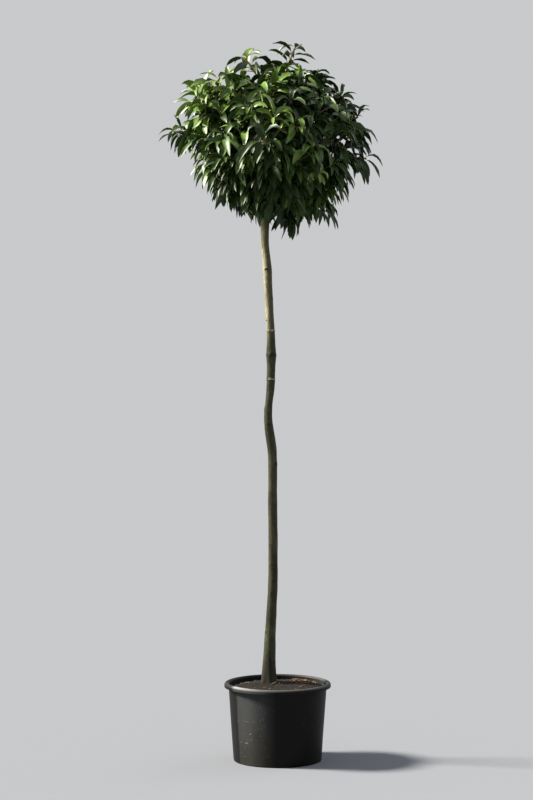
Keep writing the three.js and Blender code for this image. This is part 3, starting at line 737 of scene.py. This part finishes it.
class Leaves:
    """Each leaf is a row of its root, direction, the way that it looks, size and droop, and has a tint"""

    def __init__(self):
        self.rows = []
        self.tints = []

    def grow(self, wood, count, random):
        turn = random() * FULL_TURN
        spray = spray_tint(wood, random())
        first = FIRST_SHOOT_LEAF if wood.shoot else FIRST_LEAF
        for place in range(count):
            ripe = place / (count - 1)
            share = blend(first, LAST_LEAF, ripe)
            centre = wood.path.at(share)
            axis, side, other = leaf_axis(wood, share)
            angle = turn + place * GOLDEN_ANGLE + jitter(random, LEAF_TURN_JITTER)
            opening = blend(*LEAF_ANGLES, ripe)
            if wood.shoot:
                upright = abs(axis[2])
                opening = blend(*SHOOT_ANGLES, ripe**SHOOT_TIP_POWER * (1 - upright))
            opening = math.radians(opening + jitter(random, LEAF_ANGLE_JITTER))
            out = side * math.cos(angle) + other * math.sin(angle)
            set_off = unit(axis * math.cos(opening) + out * math.sin(opening) + UP * LEAF_LIFT)
            outward = unit(crown_offset(centre))
            look = outward + UP * (LEAF_LOOK_UP + LEAF_LOOK_JITTER * random())
            look = look + np.cross(set_off, look) * (random() - 0.5) * LEAF_TWIST
            size = LEAF_LENGTH * blend(*LEAF_SIZES, random()) * (LAST_LEAF_SIZE if ripe == 1 else 1)
            if wood.level == YOUNG:
                size *= YOUNG_LEAF_SHARE
            if wood.shoot:
                size *= SHOOT_LEAF_SIZE
            high = min(max(0.5 + outward[2], 0), 1)
            ends = [blend(low, up, high) for low, up in zip(LEAF_DROOP_LOW, LEAF_DROOP_HIGH)]
            root = centre + out * (SHOOT_RADII if wood.shoot else SPRIG_RADII)[1]
            droop = blend(*ends, random())
            self.rows.append((root, held_down(centre, set_off, size), look, size, droop))
            stray = 1 if random() > STRAY_FROM else 0
            self.tints.append(min(spray + stray, BRIGHTEST))

    def points(self):
        """Left edge, midrib and right edge of each leaf at each station"""
        roots, set_offs, looks, sizes, droops = (np.array(each) for each in zip(*self.rows))
        steps = np.diff(LEAF_STATIONS)
        middles = (LEAF_STATIONS[1:] + LEAF_STATIONS[:-1]) / 2
        down = -UP * droops[:, None]
        at_middles = unit(set_offs[:, None] + down[:, None] * middles[None, :, None])
        at_stations = unit(set_offs[:, None] + down[:, None] * LEAF_STATIONS[None, :, None])
        runs = np.cumsum(at_middles * steps[None, :, None], axis=1) * sizes[:, None, None]
        ribs = roots[:, None] + np.concatenate([np.zeros_like(runs[:, :1]), runs], axis=1)
        looks = looks[:, None] - (looks[:, None] * at_stations).sum(axis=2, keepdims=True) * at_stations
        looks = unit(looks)
        sides = np.cross(at_stations, looks)
        breadths = sizes / LEAF_LENGTH * (1 + BREADTH_CHANGE * np.sin(sizes * BREADTH_PITCH))
        half = LEAF_OUTLINE[None, :, None] * breadths[:, None, None] * LEAF_WIDTH / 2
        wave = LEAF_WAVE * np.sin(LEAF_STATIONS[None, :, None] * LEAF_WAVE_PITCH + sizes[:, None, None])
        left = -sides * math.cos(LEAF_FOLD) + looks * (math.sin(LEAF_FOLD) + wave)
        right = sides * math.cos(LEAF_FOLD) + looks * (math.sin(LEAF_FOLD) - wave)
        return np.stack([ribs + left * half, ribs, ribs + right * half], axis=2)

    def add_to(self, build):
        points = self.points()
        clear = clear_of_gaps(points[:, :, 1])
        rows = len(LEAF_STATIONS) - 1
        faces = []
        for low in range(0, 3 * (rows - 1), 3):
            faces += [(low, low + 1, low + 4, low + 3), (low + 1, low + 2, low + 5, low + 4)]
        low = 3 * (rows - 1)
        tips = [(low, low + 1, low + 3), (low + 1, low + 2, low + 3)]
        for leaf, tint in zip(points[clear], np.array(self.tints)[clear].tolist()):
            start = build.add(np.vstack([leaf[:rows].reshape(-1, 3), leaf[rows, 1]]), faces, tint)
            build.close(tips, start, tint)


# Materials
class Shader:
    """A material whose nodes are made by name and joined by plain calls"""

    def __init__(self, name, roughness, gloss):
        self.material = bpy.data.materials.new(name)
        self.material.use_nodes = True
        self.tree = self.material.node_tree
        self.surface = self.tree.nodes["Principled BSDF"]
        self.feed(self.surface.inputs["Roughness"], roughness)
        self.feed(self.surface.inputs["Specular IOR Level"], gloss)
        self.place = self.node("ShaderNodeTexCoord", {}).outputs["Object"]

    def node(self, kind, inputs, **values):
        made = self.tree.nodes.new(kind)
        for key, value in values.items():
            setattr(made, key, value)
        for socket, value in inputs.items():
            self.feed(made.inputs[socket], value)
        return made

    def feed(self, socket, value):
        """Joins a socket to another node's, or sets its number or colour"""
        if isinstance(value, bpy.types.NodeSocket):
            self.tree.links.new(value, socket)
        else:
            socket.default_value = (*value, 1) if socket.type == "RGBA" else value

    def noise(self, scale, detail=4, stretch=(1, 1, 1)):
        place = self.node("ShaderNodeMapping", {"Scale": stretch, "Vector": self.place}).outputs["Vector"]
        inputs = {"Scale": scale, "Detail": detail, "Roughness": 0.55, "Vector": place}
        return self.node("ShaderNodeTexNoise", inputs).outputs["Fac"]

    def ramp(self, value, *stops):
        made = self.node("ShaderNodeValToRGB", {"Fac": value})
        points = made.color_ramp.elements
        while len(points) < len(stops):
            points.new(0.5)
        for point, (place, colour) in zip(points, stops):
            point.position = place
            point.color = (*colour, 1) if isinstance(colour, tuple) else (colour, colour, colour, 1)
        return made.outputs["Color"]

    def mix(self, share, one, other, kind="MIX"):
        inputs = {0: share, 6: one, 7: other}
        return self.node("ShaderNodeMix", inputs, data_type="RGBA", blend_type=kind).outputs[2]

    def product(self, one, other):
        return self.mix(1.0, one, other, "MULTIPLY")

    def faded(self, value, share):
        return self.mix(share, (0, 0, 0), value)

    def part(self, axis, vector):
        return self.node("ShaderNodeSeparateXYZ", {0: vector}).outputs[axis]

    def height(self):
        return self.part("Z", self.place)

    def aside(self):
        """How far the surface faces to the right, from -1 to 1"""
        return self.part("X", self.node("ShaderNodeTexCoord", {}).outputs["Normal"])

    def turn(self):
        """The angle round the upright axis, from 0 at -X through the front to 1 at -X again"""
        inputs = {0: self.part("Y", self.place), 1: self.part("X", self.place)}
        angle = self.node("ShaderNodeMath", inputs, operation="ARCTAN2").outputs[0]
        return self.within(angle, -math.pi, math.pi)

    def within(self, value, low, high, start=0, end=1):
        """A value from low to high, carried over to the range from start to end"""
        inputs = {"Value": value, "From Min": low, "From Max": high, "To Min": start, "To Max": end}
        return self.node("ShaderNodeMapRange", inputs).outputs["Result"]

    def colour(self, value):
        self.feed(self.surface.inputs["Base Color"], value)

    def rough(self, value, low, high):
        self.feed(self.surface.inputs["Roughness"], self.within(value, 0, 1, low, high))

    def bump(self, value, strength, distance):
        made = self.node("ShaderNodeBump", {"Strength": strength, "Distance": distance, "Height": value})
        self.feed(self.surface.inputs["Normal"], made.outputs["Normal"])


def mottled(name, dark, light, roughness, gloss, mottle, places, grain, relief):
    """Two colours that run into each other, over a fine grain"""
    shader = Shader(name, roughness, gloss)
    shader.colour(shader.ramp(shader.noise(*mottle), *zip(places, (dark, light))))
    shader.bump(shader.noise(*grain), *relief)
    return shader.material


def leaf_material(*tint):
    return mottled(*tint, (55, 3), (0.36, 0.66), (420, 2), (0.2, 0.0005))


def plain_bark(*tint):
    return mottled(*tint, 0.85, 0.3, (220, 4, (1, 1, 0.5)), (0.35, 0.65), (500, 3), (0.5, 0.0008))


def chip_material(*tint):
    return mottled(*tint, 0.9, 0.25, (260, 4, (1, 0.4, 1)), (0.35, 0.65), (700, 3), (0.5, 0.0006))


def bark_material():
    """Olive and dull low down, and pale on the left side high up, partly as the bark's own tones and partly
    as painted shade low down, painted sunlight high up and painted shade on the right; dark where it meets
    the soil
    """
    shader = Shader("bark", 0.82, 0.18)
    # Olive low down is partly painted shade, and cream high up is partly painted sunlight
    olive = [(0.34, (0.021, 0.021, 0.011)), (0.52, (0.041, 0.042, 0.021)), (0.7, (0.077, 0.077, 0.042))]
    sunlit_cream = [(0.32, (0.15, 0.13, 0.075)), (0.52, (0.3, 0.28, 0.175)), (0.7, (0.44, 0.43, 0.3))]
    # Painted shade for the right side of the upper trunk
    shade = (0.085, 0.075, 0.042)
    pale_fleck = (0.2, 0.18, 0.13)
    darker_foot = (0.024, 0.018, 0.015)
    clouds = shader.noise(26, 5, (1, 1, 0.3))
    low = shader.ramp(clouds, *olive)
    high = shader.ramp(clouds, *sunlit_cream)
    # Painted shade: the upper bark darkens where it faces to the right, away from the key light
    high = shader.mix(shader.within(shader.aside(), -0.4, 0.3), high, shade)
    # Painted light: paler above about 1.45 m as painted sunlight and darker below as painted shade, besides
    # the bark's own tones
    broad = shader.mix(shader.within(shader.height(), 1.4, 1.5), low, high)
    fine = shader.ramp(shader.noise(300, 3, (1, 1, 0.22)), (0.35, 0.55), (0.62, 1.0))
    flecks = shader.ramp(shader.noise(170, 2, (1, 1, 2.6)), (0.63, 0.0), (0.72, 1.0))
    # Darker towards the soil
    foot = shader.within(shader.height(), 0.34, 0.305)
    colour = shader.product(broad, fine)
    colour = shader.mix(shader.faded(flecks, 0.35), colour, pale_fleck)
    colour = shader.mix(shader.faded(foot, 0.7), colour, darker_foot)
    shader.colour(colour)
    shader.bump(shader.noise(380, 4, (1, 1, 0.3)), 0.6, 0.0012)
    return shader.material


def pot_material():
    """Black plastic, with a grey dusty film in bands down the wall and on the rim; the front-left band is
    also painted sunlight with a painted shadow edge, and the rim has a painted highlight there
    """
    shader = Shader("pot_plastic", 0.42, 0.1)
    plastic = (0.0052, 0.0052, 0.0048)
    low_dust_and_sunlit = (0.03, 0.029, 0.026)
    high_dust_and_sunlit = (0.036, 0.038, 0.04)
    pale_spot = (0.2, 0.18, 0.14)
    rim_dust_and_highlight = (0.24, 0.24, 0.25)
    top = POT_HEIGHT * MILLIMETRE
    clouds = shader.noise(14, 6, (1, 1, 0.5))
    specks = shader.noise(120, 4)
    # The dusty bands; the front-left one is also painted sunlight, with a painted shadow edge on its left
    dust_and_sunlit_band = shader.ramp(shader.turn(), *DUST_AND_SUNLIT_BANDS)
    film = shader.mix(0.75, dust_and_sunlit_band, shader.product(dust_and_sunlit_band, shader.ramp(clouds, (0.3, 0.4), (0.62, 1.0))))
    spots = shader.product(dust_and_sunlit_band, shader.ramp(specks, (0.66, 0.0), (0.71, 1.0)))
    dust_and_sunlit_tone = shader.mix(shader.within(shader.height(), 0.02, 0.2), low_dust_and_sunlit, high_dust_and_sunlit)
    # The pale top of the rim: dusty, with a painted highlight at the front left
    rim = shader.within(shader.height(), top - 0.007, top - 0.001)
    rim = shader.product(rim, shader.ramp(shader.turn(), *RIM_DUST_AND_HIGHLIGHT))
    colour = shader.mix(film, plastic, dust_and_sunlit_tone)
    colour = shader.mix(shader.faded(spots, 0.5), colour, pale_spot)
    colour = shader.mix(rim, colour, rim_dust_and_highlight)
    shader.colour(colour)
    shader.rough(film, 0.52, 0.65)
    shader.bump(shader.noise(120, 3), 0.12, 0.0006)
    return shader.material


def soil_material():
    shader = Shader("soil", 0.96, 0.2)
    grains = [
        (0.34, (0.0025, 0.002, 0.0014)), (0.52, (0.006, 0.0048, 0.0032)), (0.68, (0.017, 0.0132, 0.0095)),
    ]
    shader.colour(shader.ramp(shader.noise(150, 6), *grains))
    shader.bump(shader.noise(320, 5), 0.9, 0.004)
    return shader.material


LEAF_MATERIALS = [leaf_material(*tint) for tint in LEAF_TINTS]
BARK = bark_material()
SCAR_BARK = plain_bark("bark_scar", (0.008, 0.0065, 0.0045), (0.02, 0.017, 0.012))
RING_BARK = plain_bark("bark_ring", (0.16, 0.14, 0.1), (0.28, 0.25, 0.19))
DRIED_MUD = plain_bark("dried_mud", (0.052, 0.047, 0.038), (0.115, 0.106, 0.085))
TWIG_BARK = plain_bark("twig_bark", (0.04, 0.034, 0.02), (0.085, 0.07, 0.04))
SPRIG_BARK = plain_bark("sprig_bark", (0.1, 0.085, 0.035), (0.2, 0.165, 0.08))
SHOOT_BARK = plain_bark("shoot_bark", (0.17, 0.11, 0.055), (0.3, 0.21, 0.11))
CHIPS = [
    chip_material("chip_orange", (0.07, 0.037, 0.019), (0.135, 0.075, 0.042)),
    chip_material("chip_brown", (0.021, 0.013, 0.008), (0.048, 0.032, 0.02)),
    chip_material("chip_pale", (0.14, 0.105, 0.067), (0.23, 0.18, 0.12)),
]


# Bark of the trunk
def scar_at(scar, height, angle):
    """How far a place is from a scar's middle, in sizes of the scar"""
    centre, turn, size, _ = scar
    aside = (angle - math.radians(turn) + math.pi) % FULL_TURN - math.pi
    return np.sqrt(((height - centre) / (size * SCAR_FLATNESS)) ** 2 + (aside * SCAR_ARC_RADIUS / size) ** 2)


def bark_radius(height, angle, centre):
    radius = float(trunk_radius(height, angle))
    place = around(radius, angle, height, centre)
    radius += uneven(place, *LUMPS) + uneven_round(angle, height, *RIDGES) + uneven(place, *GRAIN)
    for scar in SCARS:
        away = scar_at(scar, height, angle)
        if away < SCAR_SWELL_REACH:
            pit = SCAR_PIT_SHARE * math.exp(-(away**2) / SCAR_PIT_SPREAD)
            radius += scar[3] * (math.exp(-(away**2) / SCAR_SWELL_SPREAD) - pit)
    for ring in RINGS:
        radius += RING_SWELL * math.exp(-(((height - ring[0]) / RING_SPREAD) ** 2))
    return radius


def bark_tint(height, angle):
    """Scars are dark, and the rings are broken in places"""
    if any(scar_at(scar, height, angle) < SCAR_TINT_REACH for scar in SCARS):
        return DARK
    for middle, half, tint in RINGS:
        if abs(height - middle) < half + uneven_round(angle, middle, *RING_WANDER):
            return tint
    return PLAIN


def trunk_piece():
    heights = np.linspace(TRUNK_FOOT, TRUNK_TOP, TRUNK_RINGS)
    angles = even_angles(TRUNK_SIDES)
    points = []
    for height in heights:
        centre = trunk_axis_at(height)
        points += [around(bark_radius(height, angle, centre), angle, height, centre) for angle in angles]
    build = Build()
    build.add_rings(points, TRUNK_SIDES)
    build.tints[:-2] = [bark_tint(height, angle) for height in heights[:-1] for angle in angles]
    build.piece("trunk_bark", [BARK, SCAR_BARK, RING_BARK], "trunk")


# Boughs, twigs and sprays of leaves
def tapering(thick, thin):
    return lambda share, angles, heights: blend(thick, thin, share) + 0 * angles


def ridged(thick, thin, index):
    """Tapering, with shallow ridges that wind round the limb"""

    def radius_at(share, angles, heights):
        rough = 0
        for count, pitch, depth, shift in LIMB_RIDGES:
            rough = rough + np.sin(angles * count + heights / pitch + index * shift) * depth
        return blend(thick, thin, share) + rough * (thick / LIMB_RIDGE_SHARE)

    return radius_at


def bough_piece(mass, index):
    build = Build()
    form = ridged(mass.root_radius, mass.tip_radius, index)
    add_tube(build, mass.path, 0, mass.bough_end, *BOUGH_MESH, form)
    build.piece(f"bark_{mass.side}", [BARK], f"bough_{mass.side}")


def twig_piece(mass, index):
    build = Build()
    on_twig, on_sprig, on_shoot = range(3)
    stem = ridged(mass.tip_radius, mass.root_radius * STEM_TIP_SHARE, index)
    add_tube(build, mass.path, mass.bough_end, 1, *STEM_MESH, stem)
    for twig in mass.twigs:
        form = tapering(*(SHOOT_RADII if twig.shoot else TWIG_RADII))
        add_tube(build, twig.path, 0, 1, *TWIG_MESH, form, on_shoot if twig.shoot else on_twig)
    for sprig in mass.sprigs:
        add_tube(build, sprig.path, 0, 1, *SPRIG_MESH, tapering(*SPRIG_RADII), on_sprig)
    build.piece(f"twigs_{mass.side}", [TWIG_BARK, SPRIG_BARK, SHOOT_BARK], f"foliage_{mass.side}")


def leaf_piece(mass, index):
    random = seeded(301 + index)
    leaves = Leaves()
    for twig in mass.twigs:
        leaves.grow(twig, LEAVES_PER_SHOOT if twig.shoot else LEAVES_PER_SPRIG, random)
    for sprig in mass.sprigs:
        leaves.grow(sprig, LEAVES_PER_SPRIG, random)
    build = Build()
    leaves.add_to(build)
    build.piece(f"leaves_{mass.side}", LEAF_MATERIALS, f"foliage_{mass.side}")


# Pot
def rounded(points):
    """A profile with each corner drawn in as a short curve"""
    points = [np.array(point, dtype=float) for point in points]
    found = [points[0]]
    for before, corner, after in zip(points, points[1:], points[2:]):
        back = np.linalg.norm(before - corner)
        ahead = np.linalg.norm(after - corner)
        reach = min(CORNER_ROUNDING, back / CORNER_SHARE, ahead / CORNER_SHARE)
        start = corner + (before - corner) / back * reach
        end = corner + (after - corner) / ahead * reach
        for step in range(CORNER_STEPS + 1):
            t = step / CORNER_STEPS
            found.append((1 - t) ** 2 * start + 2 * t * (1 - t) * corner + t**2 * end)
    return [*found, points[-1]]


def pot_profile():
    """Radius and height, from the middle of the underside round the rim to the middle of the floor"""
    skirt = RIM_RADIUS - WALL_THICKNESS
    foot = POT_HEIGHT - RIM_DROP
    shoulder = POT_HEIGHT - SHOULDER_DROP
    inner_top = WALL_TOP_RADIUS - WALL_THICKNESS
    wall_low = np.array((WALL_FOOT_RADIUS, FLOOR_THICKNESS))
    wall_high = np.array((WALL_TOP_RADIUS, POT_HEIGHT - WALL_TOP_DROP))
    inner_high = np.array((inner_top, shoulder))
    inner_low = np.array((WALL_FOOT_RADIUS - WALL_THICKNESS, FLOOR_THICKNESS))
    return [
        (AXIS_GAP, 0),
        (FLOOR_RING_RADIUS, 0),
        (WALL_FOOT_RADIUS - FOOT_BEVEL, 0),
        wall_low,
        *(blend(wall_low, wall_high, share) for share in (0.3, 0.6, 0.85)),
        wall_high,
        (WALL_TOP_RADIUS + 3, shoulder),
        (skirt - 4, shoulder),
        (skirt, POT_HEIGHT - 8),
        (skirt, foot),
        (RIM_RADIUS, foot),
        (RIM_RADIUS, POT_HEIGHT - 6),
        (RIM_RADIUS - 3, POT_HEIGHT - 1.5),
        (RIM_RADIUS - 7, POT_HEIGHT),
        (inner_top + 4, POT_HEIGHT),
        inner_high,
        blend(inner_high, inner_low, 0.5),
        inner_low,
        (FLOOR_RING_RADIUS, FLOOR_THICKNESS),
        (AXIS_GAP, FLOOR_THICKNESS),
    ]


def pot_piece():
    points = []
    for radius, height in rounded(pot_profile()):
        on_side = DENTED_FROM < height < DENTED_TO and radius > WALL_FOOT_RADIUS - 2 * WALL_THICKNESS
        for angle in even_angles(POT_SEGMENTS):
            out = uneven_round(angle, height, *DENTS) if on_side else 0
            points.append(around(radius + out, angle, height))
    build = Build()
    build.add_rings(points, POT_SEGMENTS)
    build.faces = [face[::-1] for face in build.faces]
    pot = build.piece("pot_dusty", [pot_material()], "pot")
    pierce(pot)


def pierce(pot):
    """Cuts the drain holes through the floor"""
    build = Build()
    angles = even_angles(DRAIN_SIDES)
    circle = np.stack([np.cos(angles), np.sin(angles), 0 * angles], axis=1) * DRAIN_RADIUS
    depth = UP * DRAIN_CUT
    for index in range(DRAIN_COUNT):
        ring = circle + around(DRAIN_RING_RADIUS, (index + 0.5) / DRAIN_COUNT * FULL_TURN)
        build.add_rings(np.vstack([ring - depth, ring + depth]), DRAIN_SIDES)
    cutter = placed("drains", build.mesh("drains"))
    cut = pot.modifiers.new("drains", "BOOLEAN")
    cut.object = cutter
    cut.operation = "DIFFERENCE"
    cut.solver = "EXACT"
    bpy.context.view_layer.objects.active = pot
    bpy.ops.object.modifier_apply(modifier=cut.name)
    bpy.data.objects.remove(cutter)
    pot.data.shade_smooth()
    pot.data.set_sharp_from_angle(angle=math.radians(SHARP_EDGE))


def wall_radius(height, drop=WALL_TOP_DROP):
    """The outside of the wall, which is widest at a drop below the rim"""
    share = (height - FLOOR_THICKNESS) / (POT_HEIGHT - drop - FLOOR_THICKNESS)
    return blend(WALL_FOOT_RADIUS, WALL_TOP_RADIUS, share)


def on_wall(azimuth, height, aside, up, out):
    """A place beside and above a point of the wall, and so far out from it"""
    radius = wall_radius(height + up)
    turn = math.radians(azimuth) + aside / radius
    out += uneven_round(turn, height + up, *DENTS)
    return around(radius + out, turn, height + up)


def stray_fleck(random):
    turn = random() * 360
    return turn, *(blend(*ends, random()) for ends in STRAY_RANGES), 0


def fleck_outline(width, length, lean, random):
    """Ragged, and turned by its lean"""
    points = []
    for turn in even_angles(FLECK_SIDES):
        reach = blend(*FLECK_RAGGEDNESS, random())
        aside = math.cos(turn) * reach * width / 2
        up = math.sin(turn) * reach * length / 2
        points.append(turned(aside, up, math.radians(lean)))
    return np.array(points)


def fleck_piece():
    """Flat flecks of dried mud, most of them on the front left, where the wall is dusty and painted sunlit"""
    random = seeded(83)
    flecks = FLECKS + [stray_fleck(random) for _ in range(STRAY_FLECKS)]
    build = Build()
    for azimuth, height, width, length, lean in flecks:
        outline = fleck_outline(width, length, lean, random)
        edge = [on_wall(azimuth, height, *point, FLECK_ROOT) for point in outline]
        crown = [on_wall(azimuth, height, *point, FLECK_THICKNESS) for point in outline * FLECK_CROWN_SHARE]
        build.add_rings(edge + crown, FLECK_SIDES)
    build.piece("pot_flecks", [DRIED_MUD], "pot")


# Soil
def inner_wall_radius(height):
    return wall_radius(height, SHOULDER_DROP) - WALL_THICKNESS - SOIL_GAP


def soil_height(x, y):
    edge = inner_wall_radius(SOIL_TOP - SOIL_EDGE_DROP)
    share = max(0, (math.hypot(x, y) - SOIL_LEVEL_RADIUS) / (edge - SOIL_LEVEL_RADIUS))
    height = SOIL_TOP - SOIL_SINK - SOIL_EDGE_DROP * share**2
    for level, form in SOIL_NOISE:
        height += uneven((x, y, level), *form)
    for middle, spread, rise in MOUNDS:
        height += rise * math.exp(-((x - middle[0]) ** 2 + (y - middle[1]) ** 2) / spread**2)
    return height


def soil_piece():
    outer = inner_wall_radius(SOIL_TOP - SOIL_EDGE_DROP)
    foot = FLOOR_THICKNESS + SOIL_GAP
    points = []
    for ring in range(1, SOIL_FINE_RINGS + 1):
        for turn in even_angles(SOIL_SEGMENTS):
            x, y, _ = around(outer * ring / SOIL_FINE_RINGS, turn)
            points.append((x, y, soil_height(x, y)))
    points += [around(inner_wall_radius(foot), turn, foot) for turn in even_angles(SOIL_SEGMENTS)]
    build = Build()
    build.add_rings(points, SOIL_SEGMENTS)
    build.faces = [face[::-1] for face in build.faces]
    build.piece("soil_surface", [soil_material()], "soil")


def add_chip(build, random):
    """A dry chip or crumb that lies on the soil, unless it would touch the wall or the trunk"""
    middle, spread, shares = HEAPED_CHIPS if random() < HEAPED_SHARE else LOOSE_CHIPS
    turn = random() * FULL_TURN
    x, y, _ = around(spread * math.sqrt(random()), turn, middle=middle)
    size = blend(*CHIP_SIZES, random() ** 2)
    spin = random() * FULL_TURN
    tint = pick_tint(shares, random())
    form = CHIP_CORNERS * size * [1, CHIP_BREADTH, blend(*CHIP_THICKNESS, random())]
    tilt = jitter(random, CHIP_TILT)
    far = math.hypot(x, y) + size
    from_trunk = math.hypot(x - TRUNK_PLACE[0], y - TRUNK_PLACE[1]) - size
    if far > inner_wall_radius(SOIL_TOP) - CHIP_WALL_GAP or from_trunk < CHIP_TRUNK_GAP:
        return
    points = np.stack([*turned(form[:, 0], form[:, 1], spin), form[:, 2] + form[:, 0] * tilt], axis=1)
    build.add(points + [x, y, soil_height(x, y) + CHIP_REST], CHIP_FACES, tint)


def add_stalk(build, x, y, direction, length):
    way = np.array(around(1, math.radians(direction))) * length
    root = np.array([x, y, soil_height(x, y) + STALK_REST])
    bend = root + way * STALK_BEND + UP * length * STALK_RISE
    path = bent(root, bend, root + way + np.cross(UP, way) * STALK_SWEEP)
    add_tube(build, path, 0, 1, *STALK_MESH, tapering(*STALK_RADII), PALE_CHIP)


def chip_piece():
    random = seeded(59)
    build = Build()
    for _ in range(CHIP_COUNT):
        add_chip(build, random)
    for stalk in DRY_STALKS:
        add_stalk(build, *stalk)
    chips = build.piece("soil_chips", CHIPS, "soil")
    chips.data.shade_flat()


# Studio
def floor_colour():
    """The colour that makes the lit floor as bright as the background"""
    background = np.array(BACKGROUND_COLOUR) * BACKGROUND_STRENGTH
    lit = background.copy()
    for place, strength, _, colour in (KEY, FILL):
        lit += np.array(colour) * strength * unit(np.array(place))[2] / math.pi
    return background / lit


def floor():
    mesh = bpy.data.meshes.new("floor")
    reach = FLOOR_REACH
    corners = [(-reach, -reach, 0), (reach, -reach, 0), (reach, reach, 0), (-reach, reach, 0)]
    mesh.from_pydata(corners, [], [(0, 1, 2, 3)])
    shader = Shader("floor", 1, 0)
    shader.colour(floor_colour())
    mesh.materials.append(shader.material)
    placed("floor", mesh)


def sun(name, place, strength, spread, colour):
    """Light from far away, from the side where the place is"""
    data = bpy.data.lights.new(name, "SUN")
    data.energy = strength
    data.angle = math.radians(spread)
    data.color = colour
    light = placed(name, data)
    light.location = place
    light.rotation_euler = (-Vector(place)).to_track_quat("-Z", "Y").to_euler()


def studio():
    floor()
    world = bpy.data.worlds.new("studio")
    world.use_nodes = True
    background = world.node_tree.nodes["Background"].inputs
    background["Color"].default_value = (*BACKGROUND_COLOUR, 1)
    background["Strength"].default_value = BACKGROUND_STRENGTH
    scene = bpy.context.scene
    scene.world = world
    scene.view_settings.view_transform = "Standard"
    sun("key", *KEY)
    sun("fill", *FILL)


def camera():
    data = bpy.data.cameras.new("camera")
    data.sensor_width = SENSOR
    data.lens = SENSOR * FOCAL_PIXELS / IMAGE_HEIGHT
    data.clip_end = FARTHEST_SIGHT
    view = placed("camera", data)
    view.location = CAMERA_PLACE
    view.rotation_euler = (math.radians(90 - CAMERA_PITCH), 0, 0)
    bpy.context.scene.camera = view


camera()
studio()
grow_twigs()
grow_sprigs()
trunk_piece()
for number, limb in enumerate(LIMBS):
    bough_piece(limb, number)
    twig_piece(limb, number)
    leaf_piece(limb, number)
pot_piece()
fleck_piece()
soil_piece()
chip_piece()
